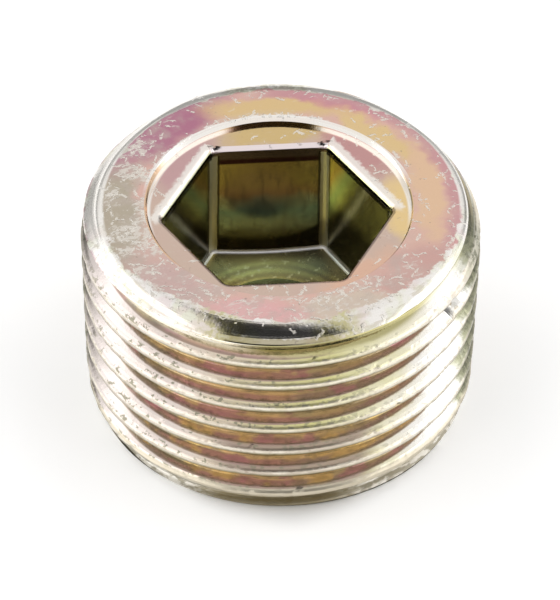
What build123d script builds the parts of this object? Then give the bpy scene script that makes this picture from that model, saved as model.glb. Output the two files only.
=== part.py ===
from build123d import *
import math
import os

os.makedirs("parts", exist_ok=True)

# Hex socket plug with a taper thread of 20 mm nominal size: one forged and rolled piece of steel.
# Millimetres. The small end stands on z = 0, the wrench socket opens at the top (+Z),
# and the Z axis is the axis of the thread. Two flats of the hexagon face +Y and -Y.

# The blank is a cone with the standard 1:16 taper. It has the nominal diameter at the gauge plane,
# which lies a little below the top face.
LENGTH = 12.0
NOMINAL_DIAMETER = 20.0
GAUGE_DEPTH = 4.3
TAPER = 1 / 16

# The thread is right hand, with 60 degrees between its flanks and a narrow flat at crest and root.
# The height of the lowest whole root is measured at the front of the plug (-Y).
PITCH = 1.5
THREAD_DEPTH = 0.85
ROOT_WIDTH = 0.25
FLANK_ANGLE = 30.0
LOWEST_ROOT_HEIGHT = 0.73

# The rounded shoulder between the thread and the flat top face, and the lead-in on the small end.
SHOULDER_RADIUS = 1.15
LEAD_IN_HEIGHT = 1.25
LEAD_IN_INSET = 0.6
FOOT_BEVEL = 0.12

# The shallow round recess in the top face, centred on the thread.
RECESS_DIAMETER = 13.2
RECESS_DEPTH = 0.4
RECESS_EDGE_BEVEL = 0.1

# The hexagonal wrench socket in the floor of the recess. It was punched a little off centre,
# and the nose of the punch left a shallow cone in its floor.
HEX_ACROSS_FLATS = 10.0
HEX_CORNER_RADIUS = 0.5
SOCKET_DEPTH = 6.95
SOCKET_SHIFT_X = -0.21
SOCKET_SHIFT_Y = -0.07
MOUTH_RADIUS = 0.4
SOCKET_FLOOR_BEVEL = 0.2
NOSE_DIAMETER = 6.6
NOSE_DEPTH = 0.3

# How far a cutting shape reaches past the metal that it removes.
CUT_CLEARANCE = 0.05


def crest_radius(height):
    """Radius of the blank's cone at a height above the small end."""
    gauge_height = LENGTH - GAUGE_DEPTH
    return (NOMINAL_DIAMETER + (height - gauge_height) * TAPER) / 2


def corner_of(outline, corner):
    """The vertex of a sketched outline at a corner."""
    return outline.vertices().sort_by_distance(Vector(corner[0], corner[1], 0))[0]


def make_blank():
    """The outline spun about the axis: foot, lead-in, cone, rounded shoulder, top face and recess."""
    recess_floor = LENGTH - RECESS_DEPTH
    foot = (crest_radius(0) - LEAD_IN_INSET, 0)
    lead_in = (crest_radius(LEAD_IN_HEIGHT), LEAD_IN_HEIGHT)
    shoulder = (crest_radius(LENGTH), LENGTH)
    recess_edge = (RECESS_DIAMETER / 2, LENGTH)
    recess_corner = (RECESS_DIAMETER / 2, recess_floor)
    with BuildPart() as blank:
        with BuildSketch(Plane.XZ) as outline:
            with BuildLine():
                Polyline(
                    (0, 0), foot, lead_in, shoulder, recess_edge, recess_corner, (0, recess_floor), (0, 0)
                )
            make_face()
            fillet(corner_of(outline, shoulder), SHOULDER_RADIUS)
            chamfer(corner_of(outline, foot), FOOT_BEVEL)
            chamfer(corner_of(outline, recess_edge), RECESS_EDGE_BEVEL)
        revolve(axis=Axis.Z)
    return blank.part


def make_socket():
    """The space that the punch leaves: a hexagonal prism with rounded corners, floor and nose mark."""
    socket_floor = LENGTH - RECESS_DEPTH - SOCKET_DEPTH
    centre = Location((SOCKET_SHIFT_X, SOCKET_SHIFT_Y, socket_floor))
    with BuildPart() as socket:
        with BuildSketch(centre) as hexagon:
            RegularPolygon(HEX_ACROSS_FLATS / 2, 6, major_radius=False)
            fillet(hexagon.vertices(), HEX_CORNER_RADIUS)
        extrude(amount=SOCKET_DEPTH + CUT_CLEARANCE)
        chamfer(socket.faces().sort_by(Axis.Z)[0].edges(), SOCKET_FLOOR_BEVEL)
        with Locations(centre):
            Cone(0, NOSE_DIAMETER / 2, NOSE_DEPTH, align=(Align.CENTER, Align.CENTER, Align.MAX))
    return socket.part


def make_groove_cutter():
    """The groove between the threads, wound up the cone from below the small end past the top face.

    It is made one turn at a time. The four corners of its section each follow a helix that
    widens with the taper, and ruled faces join them. Each turn starts at +X, three quarters
    of a turn before the front.
    """
    half_root = ROOT_WIDTH / 2
    half_mouth = half_root + (THREAD_DEPTH + CUT_CLEARANCE) * math.tan(math.radians(FLANK_ANGLE))
    section = [
        (-CUT_CLEARANCE, -half_mouth),
        (THREAD_DEPTH, -half_root),
        (THREAD_DEPTH, half_root),
        (-CUT_CLEARANCE, half_mouth),
    ]
    cone_angle = math.atan(TAPER / 2)
    slant_pitch = PITCH / math.cos(cone_angle)
    turn_height = LOWEST_ROOT_HEIGHT - PITCH * 3 / 4
    while turn_height > -half_mouth:
        turn_height -= PITCH
    walls = []
    first_turn = None
    while turn_height < LENGTH + half_mouth:
        turn = []
        for depth, offset in section:
            height = turn_height + offset
            radius = crest_radius(height) - depth
            turn.append(
                Edge.make_helix(
                    slant_pitch, PITCH, radius, center=(0, 0, height), angle=math.degrees(cone_angle)
                )
            )
        for lower, upper in zip(turn, turn[1:] + turn[:1]):
            walls.append(Face.make_surface_from_curves(lower, upper))
        first_turn = first_turn or turn
        turn_height += PITCH
    start_cap = Face(Wire.make_polygon([edge @ 0 for edge in first_turn]))
    end_cap = Face(Wire.make_polygon([edge @ 1 for edge in turn]))
    return Solid(Shell(walls + [start_cap, end_cap]))


def make_plug():
    """The blank with its socket punched, the socket's mouth rounded, and the thread cut."""
    recess_floor = LENGTH - RECESS_DEPTH
    with BuildPart() as plug:
        add(make_blank())
        add(make_socket(), mode=Mode.SUBTRACT)
        floor_face = plug.faces().filter_by(Axis.Z).filter_by_position(
            Axis.Z, recess_floor - CUT_CLEARANCE, recess_floor + CUT_CLEARANCE
        )[0]
        fillet(floor_face.inner_wires()[0].edges(), MOUTH_RADIUS)
        add(make_groove_cutter(), mode=Mode.SUBTRACT)
    return plug.part


export_step(make_plug(), "parts/plug_body.step")
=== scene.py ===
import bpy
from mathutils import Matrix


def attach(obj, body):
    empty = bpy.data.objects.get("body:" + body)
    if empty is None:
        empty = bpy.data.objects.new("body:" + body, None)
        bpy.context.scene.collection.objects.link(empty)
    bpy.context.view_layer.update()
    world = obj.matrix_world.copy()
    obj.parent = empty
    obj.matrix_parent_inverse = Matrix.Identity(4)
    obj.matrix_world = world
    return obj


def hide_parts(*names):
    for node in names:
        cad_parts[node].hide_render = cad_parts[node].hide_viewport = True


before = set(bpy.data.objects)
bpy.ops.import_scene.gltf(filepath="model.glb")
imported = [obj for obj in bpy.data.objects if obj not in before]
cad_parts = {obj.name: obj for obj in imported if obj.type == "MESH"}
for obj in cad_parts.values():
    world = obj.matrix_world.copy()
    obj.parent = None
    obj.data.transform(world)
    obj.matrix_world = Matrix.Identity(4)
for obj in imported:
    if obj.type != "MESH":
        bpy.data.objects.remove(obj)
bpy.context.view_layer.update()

import math

import bpy
from mathutils import Matrix, Vector


# ---------------------------------------------------------------------------------------------
# The plug. One piece of mild steel: the blank is forged cold with its socket and recess, and the
# taper thread is rolled on. Then it is zinc plated, and dipped for the yellow chromate film that
# shows gold, pink and green.
# ---------------------------------------------------------------------------------------------

MM = 0.001


class Wire:
    """An output socket of a node tree that Python expressions can work on."""

    def __init__(self, tree, socket):
        self.tree = tree
        self.socket = socket

    def node(self, kind, settings={}, sockets={}):
        """Adds a node to this wire's tree and returns its outputs."""
        return add_node(self.tree, kind, settings, sockets)

    def math(self, operation, *others):
        values = dict(enumerate((self, *others)))
        return self.node("ShaderNodeMath", {"operation": operation}, values)[0]

    def __add__(self, other):
        return self.math("ADD", other)

    def __radd__(self, other):
        return self.math("ADD", other)

    def __sub__(self, other):
        return self.math("SUBTRACT", other)

    def __neg__(self):
        return self.math("MULTIPLY", -1.0)

    def __rsub__(self, other):
        return -self + other

    def __mul__(self, other):
        return self.math("MULTIPLY", other)

    def __rmul__(self, other):
        return self.math("MULTIPLY", other)

    def __truediv__(self, other):
        return self.math("DIVIDE", other)

    def __abs__(self):
        return self.math("ABSOLUTE")

    def between(self, low, high):
        """0 below low, 1 above high, with a smooth rise from one to the other."""
        settings = {"interpolation_type": "SMOOTHSTEP"}
        sockets = {"Value": self, "From Min": low, "From Max": high}
        return self.node("ShaderNodeMapRange", settings, sockets)[0]

    def vector_math(self, operation, sockets={}):
        """Works on this wire as a vector, and returns the vector and then the number."""
        return self.node("ShaderNodeVectorMath", {"operation": operation}, {0: self, **sockets})

    def split(self):
        """The x, y and z of this wire."""
        return self.node("ShaderNodeSeparateXYZ", {}, {0: self})


def add_node(tree, kind, settings={}, sockets={}):
    """Adds one node: its settings first, then the value, the wire or the list of wires of each socket."""
    node = tree.nodes.new(kind)
    for name, value in settings.items():
        if name == "stops":
            ramp = node.color_ramp
            while len(ramp.elements) < len(value):
                ramp.elements.new(1.0)
            for element, (place, colour) in zip(ramp.elements, value):
                element.position = place
                element.color = (*colour, 1.0)
        else:
            setattr(node, name, value)
    for name, value in sockets.items():
        for item in value if isinstance(value, list) else [value]:
            if isinstance(item, Wire):
                tree.links.new(item.socket, node.inputs[name])
            else:
                node.inputs[name].default_value = item
    return [Wire(tree, socket) for socket in node.outputs]


# Sizes of the plug, as the steel is made and worn.
plug_sizes = {
    "Length": 12.0 * MM,
    "Nominal Radius": 10.0 * MM,
    "Gauge Height": 7.7 * MM,
    "Pitch": 1.5 * MM,
    "Thread Depth": 0.85 * MM,
    "Root Width": 0.25 * MM,
    "First Root": 0.985 * MM,
    "Root Rounding": 0.30 * MM,
    "Crest Rounding": 0.16 * MM,
    "Run Out": 12.0 * MM,
    "Run Out Length": 0.4 * MM,
    "Shoulder Width": 1.75 * MM,
    "Shoulder Drop": 0.97 * MM,
    "Side Trim": 0.40 * MM,
    "Trim Height": 10.6 * MM,
    "Back Trim": 0.025 * MM,
    "Back Trim Height": 9.6 * MM,
    "Lead In Height": 1.25 * MM,
    "Lead In Inset": 0.6 * MM,
    "Foot Bevel": 0.12 * MM,
    "Recess Radius": 6.6 * MM,
    "Recess Depth": 0.36 * MM,
    "Recess Bevel": 0.08 * MM,
    "Back Bevel Width": 0.25 * MM,
    "Back Bevel Drop": 0.16 * MM,
    "Recess Shift X": -0.1 * MM,
    "Flat To Flat": 10.0 * MM,
    "Corner Radius": 0.5 * MM,
    "Socket Depth": 6.95 * MM,
    "Socket Shift X": -0.21 * MM,
    "Socket Shift Y": -0.07 * MM,
    "Mouth Width": 0.45 * MM,
    "Mouth Drop": 0.40 * MM,
    "Back Mouth Width": 0.13 * MM,
    "Back Mouth Drop": 0.24 * MM,
    "Floor Radius": 0.15 * MM,
    "Floor Slope": 0.2,
    "Nose Radius": 3.3 * MM,
    "Nose Depth": 0.3 * MM,
}
taper = 1 / 16
flank_slope = math.tan(math.radians(30))
columns = 360
rows_per_turn = 18
thread_turns = 10
turns_below = 2
weld = 0.001 * MM

plug_tree = bpy.data.node_groups.new("forged and rolled plug", "GeometryNodeTree")
plug_tree.interface.new_socket("Geometry", in_out="OUTPUT", socket_type="NodeSocketGeometry")
plug_sockets = {}
for name in plug_sizes:
    plug_sockets[name] = plug_tree.interface.new_socket(
        name, in_out="INPUT", socket_type="NodeSocketFloat"
    )
steel_socket = plug_tree.interface.new_socket(
    "Steel", in_out="INPUT", socket_type="NodeSocketMaterial"
)
group_inputs = add_node(plug_tree, "NodeGroupInput")
size = dict(zip(plug_sizes, group_inputs))
steel = group_inputs[len(plug_sizes)]
full_turn = 2 * math.pi
quarter_turn = math.pi / 2


def sheet_of_faces(rows, turns=1):
    """A grid to bend into a band round the axis, with how far each point is round and across it."""
    settings = {
        "Size X": float(turns),
        "Size Y": 1.0,
        "Vertices X": columns * turns + 1,
        "Vertices Y": rows + 1,
    }
    grid = add_node(plug_tree, "GeometryNodeMeshGrid", {}, settings)[0]
    position = add_node(plug_tree, "GeometryNodeInputPosition")[0]
    x, y = position.split()[:2]
    return grid, x + turns / 2, y + 0.5


def placed(grid, turn, radius, height, shift_x=0.0, shift_y=0.0):
    """The grid bent round the axis, or round a centre of its own."""
    angle = turn.math("FRACT") * full_turn
    x = radius * angle.math("COSINE") + shift_x
    y = radius * angle.math("SINE") + shift_y
    position = add_node(plug_tree, "ShaderNodeCombineXYZ", {}, {"X": x, "Y": y, "Z": height})[0]
    return grid.node("GeometryNodeSetPosition", {}, {"Geometry": grid, "Position": position})[0]


def cone_radius(height):
    return size["Nominal Radius"] + (height - size["Gauge Height"]) * (taper / 2)


# The side: lead-in, thread and shoulder. Its rows climb with the thread, so that each crest and
# each root runs along a row, and they are closer together there than on the flanks.
side_rows, turn, across = sheet_of_faces(rows_per_turn, thread_turns)
crowding = 0.035
place = across - (across * (2 * full_turn)).math("SINE") * crowding
arc_start = size["Length"] - size["Shoulder Drop"]
arc_length = size["Shoulder Width"] * 1.1
rim = arc_start + arc_length
along = size["First Root"] + size["Pitch"] * (turn + place - turns_below)
along = along.math("MAXIMUM", size["Foot Bevel"]).math("MINIMUM", rim)
on_cone = along.math("MINIMUM", arc_start)
bend = (along - on_cone) / arc_length * quarter_turn
height = on_cone + size["Shoulder Drop"] * bend.math("SINE")
blank = cone_radius(on_cone) - size["Shoulder Width"] * (1 - bend.math("COSINE"))
angle = turn.math("FRACT") * full_turn

# The blank is slimmer low on the shoulder, most at its left and right. The trim ends below the top
# face, so that the two still meet.
toward_right = angle.math("COSINE")
toward_back = angle.math("SINE")
below_top = (size["Length"] - height).between(0.0, 0.45 * MM)
side_trim_from = size["Trim Height"] - toward_right * 0.25 * MM
side_trimmed = (height - side_trim_from).between(0.0, 0.9 * MM) * below_top
blank = blank - size["Side Trim"] * side_trimmed * abs(toward_right).between(0.35, 0.80)
back_trimmed = (height - size["Back Trim Height"]).between(0.0, 0.6 * MM) * below_top
blank = blank - size["Back Trim"] * back_trimmed * toward_back.between(0.3, 0.8)

# The lead-in, a steeper cone at the foot.
inset_share = 1 - height / size["Lead In Height"]
lead_in = cone_radius(size["Lead In Height"]) - size["Lead In Inset"] * inset_share
lead_in = lead_in - (size["Lead In Height"] - height) * (taper / 2)
blank = blank.math("MINIMUM", lead_in)

# The rolled groove, with rounded root and crests. It runs out near the top face.
half_mouth = size["Root Width"] / 2 + size["Thread Depth"] * flank_slope
wound = (height - size["First Root"]) / size["Pitch"] - turn
nearest = wound.math("ROUND")
above_root = wound - nearest
from_root = size["Pitch"] * abs(above_root)
root_height = size["First Root"] + size["Pitch"] * (nearest + turn)
depth = (half_mouth - from_root) / flank_slope
run_out_from = size["Run Out"] - size["Run Out Length"]
depth = depth - size["Thread Depth"] * root_height.between(run_out_from, size["Run Out"])
depth = depth.math("SMOOTH_MIN", size["Thread Depth"], size["Root Rounding"])
depth = depth.math("SMOOTH_MAX", 0.0, size["Crest Rounding"])
threaded = blank.math("SMOOTH_MIN", cone_radius(height) - depth, size["Crest Rounding"] / 2)


# The crests are nicked and worn uneven, most of all by the foot but hardly in front there, and one
# has a deep dent. These are millimetres on the surface of a cylinder of the nominal size.
nominal = plug_sizes["Nominal Radius"] / MM
height_mm = height / MM
beside = add_node(
    plug_tree,
    "ShaderNodeCombineXYZ",
    {},
    {"X": toward_right * nominal, "Y": toward_back * nominal, "Z": height_mm},
)[0]


def roughness_of(size_in_mm, detail):
    """Noise from -0.5 to 0.5 over the side, with features of about this size."""
    sockets = {"Vector": beside, "Scale": 1 / size_in_mm, "Detail": detail, "Roughness": 0.6}
    return add_node(plug_tree, "ShaderNodeTexNoise", {"noise_dimensions": "3D"}, sockets)[0] - 0.5


def dent(at_degrees, at_height, reach):
    """1 in the middle of a round dent in the side and 0 at its edge."""
    direction = math.radians(at_degrees)
    middle = (nominal * math.cos(direction), nominal * math.sin(direction), at_height)
    distance = beside.vector_math("DISTANCE", {1: middle})[1]
    return 1 - (distance / reach).between(0.0, 1.0)


crest_depth = 0.35 * MM
off_front = 1 - (-toward_back).between(0.86, 0.97) * 0.65
by_foot = (2.6 - height_mm).between(0.0, 1.6) * off_front
on_crest = (crest_depth - depth).between(0.0, crest_depth) * (11.2 - height_mm).between(0.0, 0.3)
shallowest_nick = 0.07
nicks = roughness_of(0.55, 3.0) * (1 + by_foot * 0.4)
nicks = nicks.math("MAXIMUM", shallowest_nick) - shallowest_nick
waves = (roughness_of(1.1, 3.0) + 0.5) * (0.05 + by_foot * 0.11)
worn_off = (nicks.math("MINIMUM", 0.25) * 0.3 + waves + 0.014) * on_crest
crest_dents = [
    (-32.5, 9.6, 0.75, 0.45),
    (-36.0, 10.1, 0.55, 0.3),
    (-172.0, 9.6, 0.6, 0.2),
    (-62.0, 7.0, 0.25, 0.2),
    (-58.0, 5.9, 0.22, 0.2),
]
for at_degrees, at_height, dent_reach, dent_depth in crest_dents:
    worn_off = worn_off + dent(at_degrees, at_height, dent_reach) * dent_depth
cut = (blank - threaded) / size["Thread Depth"]
threaded = threaded - worn_off * MM


def stored(geometry, name, value):
    """Writes how deep a point lies in the groove, or which flank it is on, for the finish."""
    settings = {"data_type": "FLOAT", "domain": "POINT"}
    sockets = {"Geometry": geometry, "Name": name, "Value": value}
    return geometry.node("GeometryNodeStoreNamedAttribute", settings, sockets)[0]


side_rows = stored(side_rows, "sunk", cut)
below_crest = (0.5 - abs(above_root)).between(0.0, 0.02)
side_rows = stored(side_rows, "underside", above_root.between(0.0, 0.05) * below_crest)
side = placed(side_rows, turn, threaded, height)


# The flat and sunk faces, each as a band of rings.
def hexagon(turn, grow):
    """Distance from the socket's middle to a hexagon with rounded corners, grown past the walls."""
    apothem = size["Flat To Flat"] / 2 + grow
    corner = size["Corner Radius"] + grow
    sixth = math.pi / 6
    angle = abs((turn * 6).math("FRACT") - 0.5) * (2 * sixth)
    centre = (apothem - corner) / math.cos(sixth)
    aside = centre * (sixth - angle).math("SINE")
    inside = (corner * corner - aside * aside).math("MAXIMUM", 0.0).math("SQRT")
    rounded = centre * (sixth - angle).math("COSINE") + inside
    flat = apothem / angle.math("COSINE")
    tangent = ((apothem - corner) * math.tan(sixth) / apothem).math("ARCTANGENT")
    return mixed(rounded, flat, angle.math("LESS_THAN", tangent))


def mixed(start, end, share):
    """The number that lies this share of the way from start to end."""
    return start + (end - start) * share


bands = [side]

# End face and the bevel round it.
foot_radius = cone_radius(size["Lead In Height"]) - size["Lead In Inset"]
foot_radius = foot_radius - size["Lead In Height"] * (taper / 2)
foot_side = foot_radius + size["Foot Bevel"] * (
    size["Lead In Inset"] / size["Lead In Height"] + taper / 2
)
grid, turn, across = sheet_of_faces(6)
bands.append(placed(grid, turn, (foot_radius - size["Foot Bevel"]) * across, 0.0))
grid, turn, across = sheet_of_faces(2)
bands.append(
    placed(
        grid,
        turn,
        mixed(foot_radius - size["Foot Bevel"], foot_side, across),
        size["Foot Bevel"] * across,
    )
)

# Top face, the recess with its bevel, and the recess floor up to the mouth of the socket.
rim_radius = cone_radius(arc_start) - size["Shoulder Width"]
recess_floor = size["Length"] - size["Recess Depth"]
recess_x = size["Recess Shift X"]


def bevel_shape(turn):
    """Outer radius and lower edge of the bevel round the recess. It is widest at the back."""
    at_back = (turn * full_turn).math("SINE").between(0.2, 0.75)
    reach_out = mixed(size["Recess Bevel"], size["Back Bevel Width"], at_back)
    reach_down = mixed(size["Recess Bevel"], size["Back Bevel Drop"], at_back)
    return size["Recess Radius"] + reach_out, size["Length"] - reach_down


grid, turn, across = sheet_of_faces(8)
bevel_out = bevel_shape(turn)[0]
bands.append(
    placed(grid, turn, mixed(rim_radius, bevel_out, across), size["Length"], recess_x * across)
)
grid, turn, across = sheet_of_faces(3)
bevel_out, bevel_low = bevel_shape(turn)
recess_bevel = mixed(bevel_out, size["Recess Radius"], across)
bands.append(placed(grid, turn, recess_bevel, mixed(size["Length"], bevel_low, across), recess_x))
grid, turn, across = sheet_of_faces(3)
recess_wall = mixed(bevel_shape(turn)[1], recess_floor, across)
bands.append(placed(grid, turn, size["Recess Radius"], recess_wall, recess_x))


def mouth_shape(turn):
    """How far the drawn-in mouth reaches out and down. Over the back flat it is a small bevel."""
    at_back = (turn * full_turn).math("SINE").between(0.84, 0.92)
    reach_out = mixed(size["Mouth Width"], size["Back Mouth Width"], at_back)
    reach_down = mixed(size["Mouth Drop"], size["Back Mouth Drop"], at_back)
    return reach_out, reach_down, at_back


grid, turn, across = sheet_of_faces(6)
mouth_width = mouth_shape(turn)[0]
recess_sheet = mixed(size["Recess Radius"], hexagon(turn, mouth_width), across)
socket_x = size["Socket Shift X"]
socket_y = size["Socket Shift Y"]
sheet_x = mixed(recess_x, socket_x, across)
bands.append(placed(grid, turn, recess_sheet, recess_floor, sheet_x, socket_y * across))

# The socket: rounded mouth, walls, rounded foot of the walls, floor and the mark of the punch's
# nose.
grid, turn, across = sheet_of_faces(10)
mouth_width, mouth_drop, at_back = mouth_shape(turn)
out_share = mixed((across * quarter_turn).math("SINE"), across, at_back)
down_share = mixed(1 - (across * quarter_turn).math("COSINE"), across, at_back)
wall_out = hexagon(turn, mouth_width * (1 - out_share))
wall_down = recess_floor - mouth_drop * down_share
bands.append(placed(grid, turn, wall_out, wall_down, socket_x, socket_y))
grid, turn, across = sheet_of_faces(10)
mouth_drop = mouth_shape(turn)[1]
corner_distance = size["Flat To Flat"] / math.sqrt(3)


def floor_at(distance):
    """Height of the socket's floor, which slopes down to the middle from the hexagon's corners."""
    return recess_floor - size["Socket Depth"] - (corner_distance - distance) * size["Floor Slope"]


wall_foot = floor_at(hexagon(turn, 0.0)) + size["Floor Radius"]
wall_down = mixed(recess_floor - mouth_drop, wall_foot, across)
bands.append(placed(grid, turn, hexagon(turn, 0.0), wall_down, socket_x, socket_y))
grid, turn, across = sheet_of_faces(5)
foot_bend = across * quarter_turn
foot_in = hexagon(turn, size["Floor Radius"] * (foot_bend.math("COSINE") - 1))
foot_down = floor_at(hexagon(turn, 0.0)) + size["Floor Radius"] * (1 - foot_bend.math("SINE"))
bands.append(placed(grid, turn, foot_in, foot_down, socket_x, socket_y))
grid, turn, across = sheet_of_faces(5)
socket_sheet = mixed(hexagon(turn, -size["Floor Radius"]), size["Nose Radius"], across)
sheet_down = mixed(floor_at(hexagon(turn, 0.0)), floor_at(size["Nose Radius"]), across)
bands.append(placed(grid, turn, socket_sheet, sheet_down, socket_x, socket_y))
grid, turn, across = sheet_of_faces(6)
nose_height = floor_at(size["Nose Radius"]) - size["Nose Depth"] * across
nose_radius = size["Nose Radius"] * (1 - across)
bands.append(placed(grid, turn, nose_radius, nose_height, socket_x, socket_y))

# The bands are welded into one skin. It stays open by up to 0.3 mm on top of the foot's bevel, where
# the thread and the wear cut into the side, because the bevel keeps its round edge. Edges that bend
# by more than this angle stay crisp.
crisp_angle = 0.6
skin = add_node(plug_tree, "GeometryNodeJoinGeometry", {}, {0: bands})[0]
skin = skin.node("GeometryNodeMergeByDistance", {}, {"Geometry": skin, "Distance": weld})[0]
edge_angle = skin.node("GeometryNodeInputMeshEdgeAngle")[0]
is_soft = skin.node(
    "FunctionNodeCompare",
    {"data_type": "FLOAT", "operation": "LESS_THAN"},
    {"A": edge_angle, "B": crisp_angle},
)[0]
skin = skin.node(
    "GeometryNodeSetShadeSmooth", {"domain": "EDGE"}, {"Geometry": skin, "Shade Smooth": is_soft}
)[0]
skin = skin.node("GeometryNodeRealizeInstances", {}, {"Geometry": skin})[0]
skin = skin.node("GeometryNodeSetMaterial", {}, {"Geometry": skin, "Material": steel})[0]
add_node(plug_tree, "NodeGroupOutput", {}, {0: skin})

# The finish. Below, x, y and z are in millimetres from the middle of the end face.
plated = bpy.data.materials.new("yellow chromate over zinc")
plated.use_nodes = True
plated.node_tree.nodes.clear()
film_tree = plated.node_tree
place_on_plug = add_node(film_tree, "ShaderNodeTexCoord")[3]
in_mm = place_on_plug.vector_math("SCALE", {"Scale": 1 / MM})[0]
x, y, z = in_mm.split()
radius = (x * x + y * y).math("SQRT")
sunk = add_node(film_tree, "ShaderNodeAttribute", {"attribute_name": "sunk"})[2]
underside = add_node(film_tree, "ShaderNodeAttribute", {"attribute_name": "underside"})[2]


def mottle(size_in_mm, detail=2.0, roughness=0.5, stretch=(1.0, 1.0, 1.0), turned=0.0, moved=0.0):
    """Noise from 0 to 1 with features of about this size, longer where an axis is stretched."""
    vector = add_node(
        film_tree,
        "ShaderNodeMapping",
        {"vector_type": "TEXTURE"},
        {
            "Vector": in_mm,
            "Location": (moved, 1.7 * moved, 0.6 * moved),
            "Rotation": (0.0, 0.0, math.radians(turned)),
            "Scale": tuple(size_in_mm * axis for axis in stretch),
        },
    )[0]
    settings = {"noise_dimensions": "3D"}
    sockets = {"Vector": vector, "Scale": 1.0, "Detail": detail, "Roughness": roughness}
    return add_node(film_tree, "ShaderNodeTexNoise", settings, sockets)[0]


def blend(under, over, share):
    """Colour over on colour under. Each is a colour's three numbers or a wire."""
    sockets = {0: share}
    for name, colour in ((6, under), (7, over)):
        sockets[name] = colour if isinstance(colour, Wire) else (*colour, 1.0)
    return add_node(film_tree, "ShaderNodeMix", {"data_type": "RGBA", "clamp_factor": True}, sockets)[2]


wander = add_node(
    film_tree,
    "ShaderNodeTexNoise",
    {"noise_dimensions": "3D"},
    {"Vector": in_mm, "Scale": 0.55, "Detail": 3.0, "Roughness": 0.55},
)[1]
wander = wander.vector_math("SUBTRACT", {1: (0.5, 0.5, 0.5)})[0]
wander = wander.vector_math("SCALE", {"Scale": 2.2})[0]
wandered = in_mm.vector_math("ADD", {1: wander})[0]


def pool(centre, reach, turned=0.0, soft=0.5):
    """Mask of a soft oval pool of film on the top, with its centre, half widths and turn."""
    vector = add_node(
        film_tree,
        "ShaderNodeMapping",
        {"vector_type": "TEXTURE"},
        {
            "Vector": wandered,
            "Location": (*centre, 12.0),
            "Rotation": (0.0, 0.0, math.radians(turned)),
            "Scale": (*reach, 8.0),
        },
    )[0]
    distance = vector.vector_math("LENGTH")[1]
    return 1 - distance.between(1.0 - soft, 1.0 + soft)


# Top face: peach to pink, with pools where the film dried thicker.
top_colour = blend((0.68, 0.46, 0.36), (0.72, 0.42, 0.38), mottle(2.5))
top_pools = [
    ((0.44, 0.38, 0.29), (-8.3, -0.5), (1.3, 5.0), 0.0, 0.35),
    ((0.58, 0.40, 0.37), (-6.0, -5.4), (2.6, 1.6), -45.0, 0.5),
    ((0.43, 0.17, 0.25), (-5.6, 6.4), (4.4, 1.7), 42.0, 0.4),
    ((0.70, 0.50, 0.25), (0.3, 7.4), (3.4, 0.9), 0.0, 0.4),
    ((0.60, 0.26, 0.31), (3.9, 7.6), (3.0, 0.8), -27.0, 0.4),
    ((0.72, 0.52, 0.26), (5.2, 5.0), (3.0, 0.7), -47.0, 0.4),
    ((0.74, 0.50, 0.33), (7.3, 0.6), (0.7, 3.6), 0.0, 0.4),
    ((0.60, 0.36, 0.32), (6.2, -5.4), (2.4, 1.4), 45.0, 0.5),
    ((0.64, 0.52, 0.42), (2.4, -7.6), (2.4, 0.9), 15.0, 0.4),
    ((0.74, 0.42, 0.41), (-1.9, -7.7), (2.6, 1.0), -8.0, 0.4),
]
for colour, centre, reach, turned, soft in top_pools:
    top_colour = blend(top_colour, colour, pool(centre, reach, turned, soft))
wandered_x, wandered_y = wandered.split()[:2]
wandered_radius = (wandered_x * wandered_x + wandered_y * wandered_y).math("SQRT")
outer_ring = wandered_radius.between(8.0, 8.6) * (x * 0.5 + y).between(-1.0, 2.0)
outer_ring = outer_ring * (1.5 + x).between(0.0, 2.0)
top_colour = blend(top_colour, (0.56, 0.28, 0.30), outer_ring * 0.85)
grey_patches = mottle(0.9, 3.0, 0.6, moved=15.0).between(0.45, 0.68)
grey_patches = grey_patches * (3.0 - y - x).between(-3.0, 3.0)
top_colour = blend(top_colour, (0.50, 0.42, 0.37), grey_patches * 0.5)

recess_colour = blend((0.60, 0.42, 0.36), (0.58, 0.46, 0.36), mottle(2.0, moved=5.0))
recess_pools = [
    ((0.62, 0.45, 0.20), (0.2, 6.0), (2.8, 0.9), 0.0, 0.4),
    ((0.53, 0.28, 0.27), (4.2, 4.4), (2.4, 1.0), -55.0, 0.4),
    ((0.78, 0.57, 0.27), (6.1, -0.3), (0.9, 2.4), 0.0, 0.4),
    ((0.54, 0.33, 0.33), (-4.7, 3.9), (2.4, 1.0), 55.0, 0.4),
    ((0.70, 0.44, 0.32), (3.6, -5.2), (2.6, 1.2), 35.0, 0.4),
]
for colour, centre, reach, turned, soft in recess_pools:
    recess_colour = blend(recess_colour, colour, pool(centre, reach, turned, soft))
recess_edge = plug_sizes["Recess Radius"] / MM
colour = blend(recess_colour, top_colour, radius.between(recess_edge - 0.02, recess_edge + 0.02))

# Shoulder: the film is rubbed off down to brushed zinc, widest in front, where a trace of gold is
# left. Over the back it is greyer.
fine = mottle(0.30, 3.0, 0.6, moved=2.0)
coarse = mottle(1.0, 2.0, 0.5, moved=22.0)
edge_radius = 8.90 - (-3.0 - y).between(0.0, 5.0) * 0.50 - y.between(2.0, 8.0) * 0.1
rubbed_off = (radius - edge_radius + (fine - 0.5) * 0.5 + (coarse - 0.5) * 0.9).between(0.0, 0.14)
greenish = mottle(1.2, 2.0, 0.5, moved=24.0).between(0.48, 0.62)
pinkish = mottle(1.4, 2.0, 0.5, moved=26.0).between(0.54, 0.64)
zinc = blend((0.90, 0.88, 0.84), (0.78, 0.80, 0.60), greenish * 0.6)
zinc = blend(zinc, (0.84, 0.70, 0.70), pinkish * 0.5)
brushed = mottle(0.30, 3.0, 0.6, (4.0, 4.0, 0.4), moved=36.0)
zinc = blend(zinc, (0.60, 0.54, 0.42), brushed.between(0.50, 0.64) * (-y).between(1.0, 4.0) * 0.55)
foremost = (-6.0 - y).between(0.0, 1.0)
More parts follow.
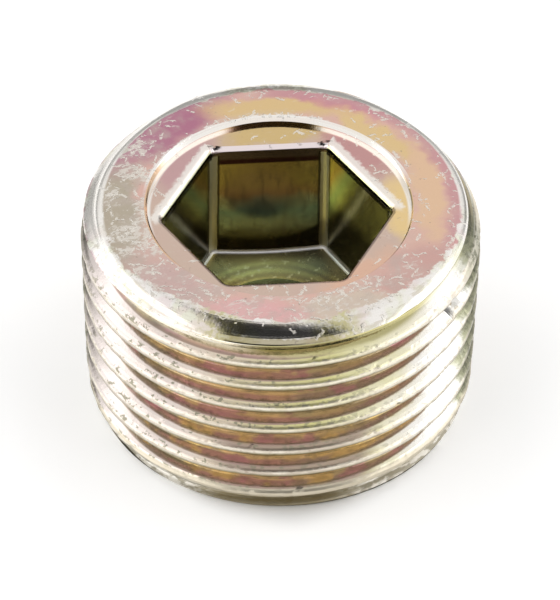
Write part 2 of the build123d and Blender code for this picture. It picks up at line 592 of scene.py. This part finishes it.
from_front = abs(x + 0.8)
front_tint = from_front.between(1.3, 2.1) * (4.4 - from_front).between(0.0, 1.2) * foremost
zinc = blend(zinc, (0.58, 0.54, 0.26), front_tint * (0.35 + fine.between(0.42, 0.58) * 0.55))
over_back = (y - x * 0.3).between(3.0, 8.0)
back_grime = over_back * (fine + (coarse - 0.5) * 0.4).between(0.42, 0.50)
left_grime = fine.between(0.56, 0.64) * (1 - over_back) * (-x).between(1.0, 6.0)
right_grime = fine.between(0.58, 0.64) * x.between(5.0, 7.0) * y.between(-3.0, -1.0)
zinc = blend(zinc, (0.42, 0.39, 0.28), back_grime * 0.6)
zinc = blend(zinc, (0.46, 0.42, 0.34), left_grime * 0.5)
zinc = blend(zinc, (0.40, 0.36, 0.32), right_grime * 0.7)
colour = blend(colour, zinc, rubbed_off * 0.95)
to_the_side = abs(x).between(5.0, 8.0)
steep_side = radius.between(9.72, 9.86) * coarse.between(0.40, 0.55)
colour = blend(colour, (0.46, 0.30, 0.33), steep_side * to_the_side * 0.8)
low_line = (radius + (fine - 0.5) * 0.15).between(9.80, 9.88) * (-y).between(-2.0, 2.0)
colour = blend(colour, (0.30, 0.26, 0.20), low_line * fine.between(0.45, 0.60) * 0.8)
below_edge = (radius + (fine - 0.5) * 0.3).between(9.46, 9.60) * (3.4 - from_front).between(0.0, 1.2)
colour = blend(colour, (0.33, 0.28, 0.13), below_edge * foremost * 0.75)

# Scuffs from the box: short pale flakes every way, thick round the recess and on the left.
on_left = (-4.0 - x).between(0.0, 2.0) * (7.2 - y).between(0.0, 2.5) * (y + 8.0).between(0.0, 3.0)
round_recess = (7.5 - radius).between(0.0, 0.7) * (0.35 + (-x).between(-4.0, 2.0) * 0.65)
by_edge = (radius - edge_radius).between(-0.7, -0.2)
along_front = (-2.5 - y).between(0.0, 3.0) * 0.6
scuffed = on_left.math("MAXIMUM", round_recess * 0.9)
scuffed = scuffed.math("MAXIMUM", along_front).math("MAXIMUM", by_edge * 0.4)
scuffed = scuffed * (0.25 + mottle(1.5, 2.0, moved=14.0).between(0.38, 0.58) * 0.75)
on_top_face = z.between(11.93, 11.98)
above_socket = z.between(11.3, 11.4)
scuffed = scuffed * on_top_face + above_socket * 0.12
on_recess_floor = (6.5 - radius).between(0.0, 0.1) * z.between(11.5, 11.58)
scuffed = scuffed + on_recess_floor * 0.06
bent = add_node(
    film_tree,
    "ShaderNodeTexNoise",
    {"noise_dimensions": "3D"},
    {"Vector": in_mm, "Scale": 2.2, "Detail": 2.0, "Roughness": 0.6},
)[1]
bent = bent.vector_math("SCALE", {"Scale": 0.5})[0]
bent = in_mm.vector_math("ADD", {1: bent})[0]


def strokes(size_in_mm, turned, share):
    """Mask of short crooked strokes, at most one in each cell. Share says how many cells have one."""
    vector = add_node(
        film_tree,
        "ShaderNodeMapping",
        {"vector_type": "TEXTURE"},
        {"Vector": bent, "Rotation": (0.0, 0.0, math.radians(turned)), "Scale": (size_in_mm,) * 3},
    )[0]
    cell_colour, cell_middle = vector.node(
        "ShaderNodeTexVoronoi", {"voronoi_dimensions": "2D"}, {"Vector": vector, "Scale": 1.0}
    )[1:3]
    chance, way = cell_colour.split()[:2]
    aside = vector.vector_math("SUBTRACT", {1: cell_middle})[0]
    aside = aside.node(
        "ShaderNodeVectorRotate", {"rotation_type": "Z_AXIS"}, {"Vector": aside, "Angle": way * math.pi}
    )[0]
    lengthways, sideways = aside.split()[:2]
    stroke = (0.46 - abs(lengthways)).between(0.0, 0.12) * (0.11 - abs(sideways)).between(0.0, 0.07)
    return stroke * (share - chance).between(0.0, 0.05)


share = scuffed * 0.85 + z.between(11.5, 11.6) * 0.03
worn = strokes(0.75, 0.0, share).math("MAXIMUM", strokes(0.60, 35.0, share))
worn = worn.math("MAXIMUM", strokes(0.90, 70.0, share))
worn = worn * mottle(0.16, 2.0, 0.6, moved=32.0).between(0.38, 0.50)
frost = (mottle(0.25, 3.0, 0.65, (1.6, 1.0, 1.0), 20.0) + scuffed * 0.16).between(0.64, 0.70)
colour = blend(colour, (0.60, 0.54, 0.48), scuffed * 0.35)
colour = blend(colour, (0.72, 0.67, 0.60), frost * scuffed * 0.7)
colour = blend(colour, (0.84, 0.79, 0.71), worn * 0.8)
dark_specks = mottle(0.20, 2.0, 0.6, moved=16.0).between(0.68, 0.74)
colour = blend(colour, (0.28, 0.24, 0.20), dark_specks * 0.6)

# Recess: its wall is bare, and so is the edge of its floor at the back. An orange line is left on
# the left.
recess_x_mm = x - plug_sizes["Recess Shift X"] / MM
recess_radius = (recess_x_mm * recess_x_mm + y * y).math("SQRT")
in_recess = (11.96 - z).between(0.0, 0.03) * z.between(11.3, 11.5)
bare_ring = recess_radius.between(6.38, 6.52) * in_recess * abs(x).between(1.6, 2.6)
colour = blend(colour, (0.86, 0.83, 0.78), bare_ring * (y + 2.0).between(0.0, 2.0) * 0.9)
bare_rim = (7.0 - recess_radius + (fine - 0.5) * 0.8).between(0.0, 0.15) * z.between(11.96, 11.99)
colour = blend(colour, (0.86, 0.83, 0.78), bare_rim * (y - x * 0.4).between(4.6, 5.6) * 0.75)
on_bevel = recess_radius.between(6.56, 6.60) * (6.92 - recess_radius).between(0.0, 0.05)
on_bevel = on_bevel * z.between(11.80, 11.86)
colour = blend(colour, (0.88, 0.85, 0.80), on_bevel * y.between(1.0, 3.0) * 0.85)
orange_line = on_bevel * (6.76 - recess_radius).between(0.0, 0.03)
colour = blend(colour, (0.72, 0.48, 0.30), orange_line * (-5.0 - x).between(0.0, 1.0) * 0.9)

# Thread: one film low in the grooves, another on the outer half of the flanks, and bare crests. The
# film changes round the plug; the turn is 0 at the back, 0.25 on the left and 0.5 in front.
def film_along(place, stops):
    """Colour from a row of stops, each a place from 0 to 1 and a colour."""
    return add_node(film_tree, "ShaderNodeValToRGB", {"stops": stops}, {0: place})[0]


round_turn = x.math("ARCTAN2", -y) / full_turn + 0.5
along_thread = mottle(1.6, 3.0, 0.55, (1.6, 1.6, 0.4), moved=4.0)
drift = (along_thread - 0.5) * 0.09
flank_film_and_edge_reflection = film_along(
    round_turn + drift,
    [
        (0.0, (0.66, 0.58, 0.36)),
        (0.12, (0.64, 0.50, 0.42)),
        (0.20, (0.52, 0.46, 0.40)),
        (0.26, (0.58, 0.52, 0.48)),
        (0.31, (0.68, 0.61, 0.58)),
        (0.39, (0.76, 0.66, 0.60)),
        (0.44, (0.68, 0.58, 0.45)),
        (0.475, (0.62, 0.56, 0.33)),
        (0.52, (0.64, 0.60, 0.28)),
        (0.555, (0.74, 0.70, 0.42)),
        (0.59, (0.84, 0.79, 0.64)),
        (0.62, (0.88, 0.85, 0.80)),
        (0.672, (0.82, 0.80, 0.76)),
        # The dark stops at 0.69 and 0.72 are a painted dark reflection along the right edge.
        (0.690, (0.42, 0.42, 0.28)),
        (0.72, (0.40, 0.38, 0.28)),
        (0.78, (0.64, 0.56, 0.38)),
        (0.89, (0.64, 0.47, 0.42)),
        (1.0, (0.66, 0.58, 0.36)),
    ],
)
low_rows = (6.2 - z).between(0.0, 1.0)
in_front = round_turn.between(0.42, 0.45) * (0.58 - round_turn).between(0.0, 0.03)
flank_film_and_edge_reflection = blend(flank_film_and_edge_reflection, (0.38, 0.29, 0.24), low_rows * in_front * 0.9)
# In both groove ramps the dark stops near 0.35 and 0.60 are painted dark reflection, at the ends of the dark
# reflection in the front grooves.
groove_top = film_along(
    round_turn + drift - low_rows * 0.03,
    [
        (0.0, (0.66, 0.50, 0.28)),
        (0.22, (0.60, 0.46, 0.28)),
        (0.30, (0.44, 0.38, 0.26)),
        (0.345, (0.22, 0.19, 0.13)),
        (0.375, (0.26, 0.23, 0.15)),
        (0.40, (0.66, 0.48, 0.26)),
        (0.49, (0.78, 0.57, 0.30)),
        (0.51, (0.54, 0.45, 0.26)),
        (0.575, (0.44, 0.35, 0.22)),
        (0.60, (0.34, 0.22, 0.17)),
        (0.65, (0.50, 0.42, 0.28)),
        (1.0, (0.66, 0.50, 0.28)),
    ],
)
groove_low = film_along(
    round_turn - drift,
    [
        (0.0, (0.54, 0.32, 0.26)),
        (0.22, (0.50, 0.32, 0.26)),
        (0.30, (0.40, 0.34, 0.26)),
        (0.345, (0.22, 0.19, 0.14)),
        (0.375, (0.26, 0.20, 0.16)),
        (0.40, (0.48, 0.29, 0.26)),
        (0.49, (0.50, 0.29, 0.25)),
        (0.51, (0.40, 0.30, 0.23)),
        (0.58, (0.34, 0.25, 0.20)),
        (0.605, (0.32, 0.18, 0.15)),
        (0.65, (0.44, 0.36, 0.28)),
        (1.0, (0.54, 0.32, 0.26)),
    ],
)
off_middle = (round_turn - 0.476) / 0.14
boundary = 0.28 + (off_middle * off_middle).math("MINIMUM", 1.5) * 0.35
uneven = (along_thread - 0.5) * 0.6
groove_film_and_reflection = blend(groove_low, groove_top, (sunk + uneven).between(0.62, 0.80))
patchy = mottle(1.8, 3.0, 0.55, (1.3, 1.3, 0.6), moved=34.0)
gold_patches = patchy.between(0.50, 0.60) * (0.25 + low_rows * 0.55)
groove_film_and_reflection = blend(groove_film_and_reflection, (0.70, 0.50, 0.20), gold_patches)
groove_film_and_reflection = blend(groove_film_and_reflection, (0.50, 0.24, 0.28), (0.46 - patchy).between(0.0, 0.08) * 0.7)
groove_film_and_reflection = blend(groove_film_and_reflection, (0.32, 0.25, 0.20), (boundary + 0.22 - sunk).between(0.0, 0.12) * 0.7)
groove_film_and_reflection = blend(groove_film_and_reflection, (0.26, 0.22, 0.12), (sunk + uneven * 0.3).between(0.86, 0.94) * 0.85)
in_groove = (sunk - boundary + uneven * 0.15).between(-0.04, 0.06)
thread_colour = blend(flank_film_and_edge_reflection, groove_film_and_reflection, in_groove * (11.0 - z).between(0.2, 0.4))
streaks = mottle(0.35, 3.0, 0.6, (2.2, 2.2, 0.6), moved=30.0)
thread_colour = blend(thread_colour, (0.54, 0.45, 0.36), underside)
thread_colour = blend(thread_colour, (0.22, 0.17, 0.12), streaks.between(0.48, 0.66) * in_groove * 0.35)
first_groove = z.between(10.6, 10.9) * sunk.between(0.3, 0.6)
thread_colour = blend(thread_colour, (0.44, 0.40, 0.20), first_groove)
top_left = z.between(10.65, 10.85) * (0.48 - round_turn).between(0.0, 0.04)
thread_colour = blend(thread_colour, (0.84, 0.79, 0.70), top_left * 0.85)
# A dark line where each crest turns under: painted shade.
crest_underside_shade = underside * (0.22 - sunk).between(0.0, 0.08) * sunk.between(0.0, 0.03)

speckled = mottle(0.22, 2.0, 0.7, (1.8, 1.8, 1.0), moved=18.0)
bare_crest = (0.10 - sunk + (speckled - 0.5) * 0.3).between(0.0, 0.05)
crest_colour = blend((0.86, 0.80, 0.68), flank_film_and_edge_reflection, along_thread.between(0.42, 0.6) * 0.5)
crest_colour = blend(crest_colour, (0.60, 0.52, 0.42), speckled.between(0.48, 0.60) * 0.55)
thread_colour = blend(thread_colour, crest_colour, bare_crest * 0.9)
thread_colour = blend(thread_colour, (0.28, 0.25, 0.16), crest_underside_shade * 0.9)
# Patchy dark on the outer flanks, most on the left and front left: painted shade in the gap under each crest.
crest_gap_shade = (speckled + (along_thread - 0.5) * 0.5).between(0.54, 0.62) * sunk.between(0.02, 0.08)
crest_gap_shade = crest_gap_shade * (0.42 - sunk).between(0.0, 0.14)
crest_gap_shade_reach = round_turn.between(0.25, 0.34) * (0.66 - round_turn).between(0.06, 0.24)
thread_colour = blend(thread_colour, (0.24, 0.23, 0.16), crest_gap_shade * (0.25 + crest_gap_shade_reach * 0.6))
# Dark bands along the left and right edges of the thread: painted dark reflection.
at_right = round_turn.between(0.680, 0.70) * (0.76 - round_turn).between(0.0, 0.04)
at_left = (0.268 - round_turn).between(0.0, 0.02) * round_turn.between(0.20, 0.23)
dark_edge_reflection = at_right.math("MAXIMUM", at_left) * (0.45 + speckled.between(0.46, 0.58) * 0.5)
thread_colour = blend(thread_colour, (0.20, 0.20, 0.14), dark_edge_reflection)
foot_crest = (1.95 - z).between(0.0, 0.25) * (0.3 - sunk).between(0.0, 0.1)
thread_colour = blend(thread_colour, (0.60, 0.54, 0.42), foot_crest * 0.9)
# The lead-in is darker in front: painted shade.
foot_front_shade = round_turn.between(0.40, 0.44) * (0.57 - round_turn).between(0.0, 0.04)
foot_film_and_shade = blend((0.70, 0.67, 0.60), (0.24, 0.21, 0.14), streaks.between(0.44, 0.58) * 0.75)
foot_film_and_shade = blend(foot_film_and_shade, (0.32, 0.27, 0.17), foot_front_shade * 0.9)
thread_colour = blend(thread_colour, foot_film_and_shade, (1.22 - z).between(-0.1, 0.1))
on_thread = (11.15 - z).between(0.0, 0.1).math("MAXIMUM", sunk.between(0.06, 0.12)) * radius.between(8.3, 8.5)
colour = blend(colour, thread_colour, on_thread)

# Socket: darker film, brown high up and teal lower down on its back wall, with painted shade low on
# the walls and under the back lip, and a painted highlight along the foot of the back wall. The punch
# rubbed its six corners bare, and left turned rings on its floor.
socket_film_and_painted_light = film_along(
    (z - 4.6) / 7.0 + (mottle(1.6, moved=1.0) - 0.5) * 0.2,
    [
        (0.0, (0.24, 0.24, 0.16)),
        (0.16, (0.36, 0.40, 0.28)),
        (0.24, (0.76, 0.96, 0.80)),
        (0.40, (0.58, 0.93, 0.94)),
        (0.50, (0.92, 0.98, 0.78)),
        (0.56, (0.98, 0.72, 0.40)),
        (0.64, (0.94, 0.78, 0.33)),
        (0.88, (0.98, 0.83, 0.37)),
        (1.0, (0.80, 0.63, 0.30)),
    ],
)
socket_x_mm = x - plug_sizes["Socket Shift X"] / MM
socket_y_mm = y - plug_sizes["Socket Shift Y"] / MM
flat_back = abs(socket_y_mm)
flat_right = abs(socket_x_mm * math.cos(math.pi / 6) + socket_y_mm * 0.5)
flat_left = abs(socket_x_mm * math.cos(math.pi / 6) - socket_y_mm * 0.5)
farthest = flat_back.math("MAXIMUM", flat_right).math("MAXIMUM", flat_left)
nearest_flat = flat_back.math("MINIMUM", flat_right).math("MINIMUM", flat_left)
from_corner = farthest * 2.0 - (flat_back + flat_right + flat_left) + nearest_flat
on_back = (socket_y_mm - farthest).between(-0.1, -0.02)
side_walls_film_and_shade = blend((0.52, 0.54, 0.38), (0.95, 0.95, 0.50), x.between(-1.0, 2.0))
# Low on the side walls the film turns near black: painted shade deep in the socket.
side_walls_film_and_shade = blend(side_walls_film_and_shade, (0.09, 0.08, 0.05), (8.6 - z).between(0.0, 1.3) * 0.92)
front_film = blend((0.34, 0.29, 0.21), (0.85, 0.80, 0.60), (-x).between(2.0, 3.5))
side_walls_film_and_shade = blend(side_walls_film_and_shade, front_film, (-y).between(-0.5, 0.5))
socket_film_and_painted_light = blend(socket_film_and_painted_light, (0.28, 0.22, 0.22), z.between(10.75, 10.9))
# A purple-black line under the back lip: painted shade.
shade_under_lip = z.between(10.5, 10.6) * (10.95 - z).between(0.0, 0.15)
socket_film_and_painted_light = blend(socket_film_and_painted_light, (0.12, 0.05, 0.06), shade_under_lip)
off_wall_middle = x + 0.5
shadow_line = 5.55 + off_wall_middle * off_wall_middle * (0.06 + x.between(0.0, 2.0) * 0.04)
socket_film_and_painted_light = blend(socket_film_and_painted_light, (0.05, 0.05, 0.04), (shadow_line - z).between(-0.1, 0.3) * 0.95)
socket_film_and_painted_light = blend(side_walls_film_and_shade, socket_film_and_painted_light, on_back)
smear = mottle(0.5, 3.0, 0.6, (0.6, 0.6, 3.0), moved=20.0)
socket_film_and_painted_light = blend(socket_film_and_painted_light, (0.22, 0.19, 0.12), smear.between(0.50, 0.66) * 0.35)
on_wall = farthest.between(4.88, 4.93) * (11.2 - z).between(0.0, 0.1)
beside_strip = (0.37 - from_corner).between(0.0, 0.06) * on_wall
socket_film_and_painted_light = blend(socket_film_and_painted_light, (0.10, 0.09, 0.05), beside_strip * 0.9)
strip = (0.27 - from_corner + (smear - 0.5) * 0.12).between(0.0, 0.05) * on_wall
right_half = x.between(-1.0, 1.0)
strip_film = blend((1.0, 0.98, 0.74), (1.0, 1.0, 0.72), right_half)
strip_film = blend(strip_film, (0.50, 0.48, 0.36), (6.9 - z).between(0.0, 0.6) * right_half)
socket_film_and_painted_light = blend(socket_film_and_painted_light, strip_film, strip)
socket_radius = (socket_x_mm * socket_x_mm + socket_y_mm * socket_y_mm).math("SQRT")
on_socket_floor = (3.71 + socket_radius * 0.2 - z).between(0.0, 0.04)
rings = (socket_radius * 12.0 + (fine - 0.5) * 4.0).math("SINE") * 0.5 + 0.5
rings = rings * (4.6 - socket_radius).between(0.0, 0.5)
floor_film_and_highlight = blend((0.32, 0.27, 0.13), (0.17, 0.15, 0.09), x.between(-0.5, 2.5))
floor_film_and_highlight = blend(floor_film_and_highlight, (0.62, 0.58, 0.24), rings * (0.25 + (1.0 - x).between(0.0, 3.0) * 0.45))
floor_film_and_highlight = blend(floor_film_and_highlight, (0.70, 0.64, 0.40), fine.between(0.60, 0.66) * 0.5)
# Near-white along the foot of the back wall: a painted highlight.
back_foot_highlight = farthest.between(4.80, 4.86) * y.between(0.0, 1.0)
floor_film_and_highlight = blend(floor_film_and_highlight, (0.94, 0.92, 0.92), back_foot_highlight)
socket_film_and_painted_light = blend(socket_film_and_painted_light, floor_film_and_highlight, on_socket_floor)
in_socket = (11.55 - z).between(0.0, 0.1) * (6.3 - radius).between(0.0, 0.1)
colour = blend(colour, socket_film_and_painted_light, in_socket)
mouth_shadow = z.between(10.95, 11.05) * (11.44 - z).between(0.0, 0.04)
mouth_shadow = mouth_shadow * (5.14 - farthest).between(0.0, 0.05) * y.between(0.0, 0.5)
colour = blend(colour, (0.06, 0.055, 0.045), mouth_shadow * (1 - on_back) * 0.95)
on_lip = farthest.between(4.98, 5.02) * (5.16 - farthest).between(0.0, 0.02)
colour = blend(colour, (0.80, 0.71, 0.71), on_lip * z.between(11.38, 11.42) * on_back)
by_mouth = (5.66 - farthest + (fine - 0.5) * 0.5).between(0.0, 0.25) * farthest.between(5.08, 5.14)
by_mouth = by_mouth * (abs(x) * 0.6 + y).between(3.0, 3.6) * z.between(11.2, 11.3)
colour = blend(colour, (0.88, 0.84, 0.78), by_mouth * (1 - on_back) * 0.8)

# Sheen and the smallest bumps: worn places, crests and the foot are duller than the rest.
grain = mottle(0.12, 3.0, 0.6, moved=8.0)
dull = 0.13 + worn * 0.2 + (mottle(1.0, 3.0, 0.6, moved=10.0) - 0.5) * 0.06
dull = dull + on_thread * ((0.24 - sunk).between(0.0, 0.1) * 0.24 + (1.3 - z).between(0.0, 0.2) * 0.2)
dull = dull + in_socket * (strip * 0.25 + on_socket_floor * (0.14 + back_foot_highlight * 0.1))
dull = dull + rubbed_off * z.between(11.0, 11.1) * to_the_side * 0.12
bumps = grain * 0.25 + mottle(0.6, 2.0, 0.5, moved=12.0) * 0.7
bumps = bumps + worn * 0.8 + speckled * on_thread * 0.8
relief = add_node(
    film_tree, "ShaderNodeBump", {}, {"Strength": 0.35, "Distance": 0.02 * MM, "Height": bumps}
)[0]
plating = add_node(
    film_tree,
    "ShaderNodeBsdfPrincipled",
    {},
    {"Base Color": colour, "Metallic": 1.0, "Roughness": dull, "Normal": relief},
)[0]
add_node(film_tree, "ShaderNodeOutputMaterial", {}, {"Surface": plating})

plug_mesh = bpy.data.meshes.new("plug")
plug = bpy.data.objects.new("plug", plug_mesh)
bpy.context.scene.collection.objects.link(plug)
shaping = plug.modifiers.new("forged and rolled", "NODES")
shaping.node_group = plug_tree
for name, socket in plug_sockets.items():
    shaping[socket.identifier] = plug_sizes[name]
shaping[steel_socket.identifier] = plated
depsgraph = bpy.context.evaluated_depsgraph_get()
made = bpy.data.meshes.new_from_object(plug.evaluated_get(depsgraph))
plug.modifiers.remove(shaping)
plug.data = made
made.name = "plug"
bpy.data.meshes.remove(plug_mesh)

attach(plug, "root")
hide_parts("plug_body")


# ---------------------------------------------------------------------------------------------
# The table: a plain sheet of white paper that the plug stands on, inside a light tent of white
# cloth. The paper looks white to the eye and in the steel, and keeps the plug's soft shadow, with
# painted shadow added round the foot where its glow is left off.
# ---------------------------------------------------------------------------------------------

floor_mesh = bpy.data.meshes.new("floor")
reach = 400 * MM
corners = [(x * reach, y * reach, 0.0) for x, y in ((-1, -1), (1, -1), (1, 1), (-1, 1))]
floor_mesh.from_pydata(corners, [], [(0, 1, 2, 3)])
floor = bpy.data.objects.new("floor", floor_mesh)
bpy.context.scene.collection.objects.link(floor)
paper = bpy.data.materials.new("white sheet")
paper.use_nodes = True
paper.node_tree.nodes.clear()
paper_tree = paper.node_tree
plain_sheet = {"Color": (0.92, 0.92, 0.92, 1.0), "Roughness": 0.0}
paper_shade = add_node(paper_tree, "ShaderNodeBsdfDiffuse", {}, plain_sheet)[0]
glow = {"Color": (1.0, 1.0, 1.0, 1.0), "Strength": 0.27}
paper_glow = add_node(paper_tree, "ShaderNodeEmission", {}, glow)[0]
no_glow = add_node(paper_tree, "ShaderNodeEmission", {}, {"Strength": 0.0})[0]
on_sheet = add_node(paper_tree, "ShaderNodeTexCoord")[3]
# The glow fades out near the plug, closer in at its sides: painted shadow over the real one.
from_plug = on_sheet.vector_math("LENGTH")[1] + abs(on_sheet.split()[0]) * 0.2
light_path = add_node(paper_tree, "ShaderNodeLightPath")
seen = (light_path[0] + light_path[3]) * from_plug.between(9.2 * MM, 11.2 * MM)
lift = add_node(paper_tree, "ShaderNodeMixShader", {}, {0: seen, 1: no_glow, 2: paper_glow})[0]
paper_light = add_node(paper_tree, "ShaderNodeAddShader", {}, {0: paper_shade, 1: lift})[0]
add_node(paper_tree, "ShaderNodeOutputMaterial", {}, {"Surface": paper_light})
floor_mesh.materials.append(paper)

# The tent is white all round, with brighter side panels, a duller far end and far right corner, and
# the dark opening that the camera looks in through.
world = bpy.data.worlds.new("tent")
world.use_nodes = True
tent_tree = world.node_tree
tent_tree.nodes.clear()
direction = add_node(tent_tree, "ShaderNodeTexCoord")[0]
toward_x, toward_y, toward_z = direction.split()
aside = abs(toward_x)
overhead_width = 0.27 - 0.37 * toward_y
overhead = (overhead_width - aside).between(-0.03, 0.03)
overhead = overhead * (0.60 - toward_y).between(0.0, 0.05) * (toward_y + 0.14).between(0.0, 0.06)
overhead = overhead * toward_z.between(0.3, 0.4)
behind_camera = (0.50 - aside).between(0.0, 0.08) * (0.0 - toward_y).between(0.4, 0.5)
behind_camera = behind_camera * toward_z.between(0.42, 0.50) * (0.86 - toward_z).between(0.0, 0.06)
opening = overhead.math("MAXIMUM", behind_camera)
far_end = toward_y.between(0.50, 0.65) * (0.42 - toward_z).between(0.0, 0.12)
right_corner = toward_x.between(0.55, 0.65) * toward_y.between(0.33, 0.43)
right_corner = right_corner * (0.66 - toward_z).between(0.0, 0.1)
side_panels = aside.between(0.40, 0.60) * (0.65 - toward_y).between(0.0, 0.2)
side_panels = side_panels * (0.80 - toward_z).between(0.0, 0.2)
tent_light = (1.0 + side_panels * 0.8) * (1.0 - opening * 0.98)
tent_light = tent_light * (1.0 - far_end * 0.6) * (1.0 - right_corner * 0.5)
white_cloth = {"Color": (1.0, 1.0, 1.0, 1.0), "Strength": tent_light}
cloth = add_node(tent_tree, "ShaderNodeBackground", {}, white_cloth)[0]
add_node(tent_tree, "ShaderNodeOutputWorld", {}, {"Surface": cloth})
bpy.context.scene.world = world
bpy.context.scene.view_settings.view_transform = "Standard"


# ---------------------------------------------------------------------------------------------
# The camera. It stands in front of the plug, a little to its left, and looks down into the socket
# through a long lens.
# ---------------------------------------------------------------------------------------------

camera_aim = Vector((-0.06, -0.67, 6.26)) * MM
camera_azimuth = math.radians(-5.117)
camera_elevation = math.radians(42.356)
camera_distance = 450 * MM
camera_roll = math.radians(0.797)
camera_data = bpy.data.cameras.new("camera")
camera_data.sensor_width = 36.0
camera_data.lens = 537.08
camera_data.clip_start = 10 * MM
camera_data.clip_end = 10.0
camera = bpy.data.objects.new("camera", camera_data)
bpy.context.scene.collection.objects.link(camera)
back = Vector((
    math.sin(camera_azimuth) * math.cos(camera_elevation),
    -math.cos(camera_azimuth) * math.cos(camera_elevation),
    math.sin(camera_elevation),
))
turned = back.to_track_quat("Z", "Y").to_matrix().to_4x4() @ Matrix.Rotation(camera_roll, 4, "Z")
camera.matrix_world = Matrix.Translation(camera_aim + back * camera_distance) @ turned
bpy.context.scene.camera = camera
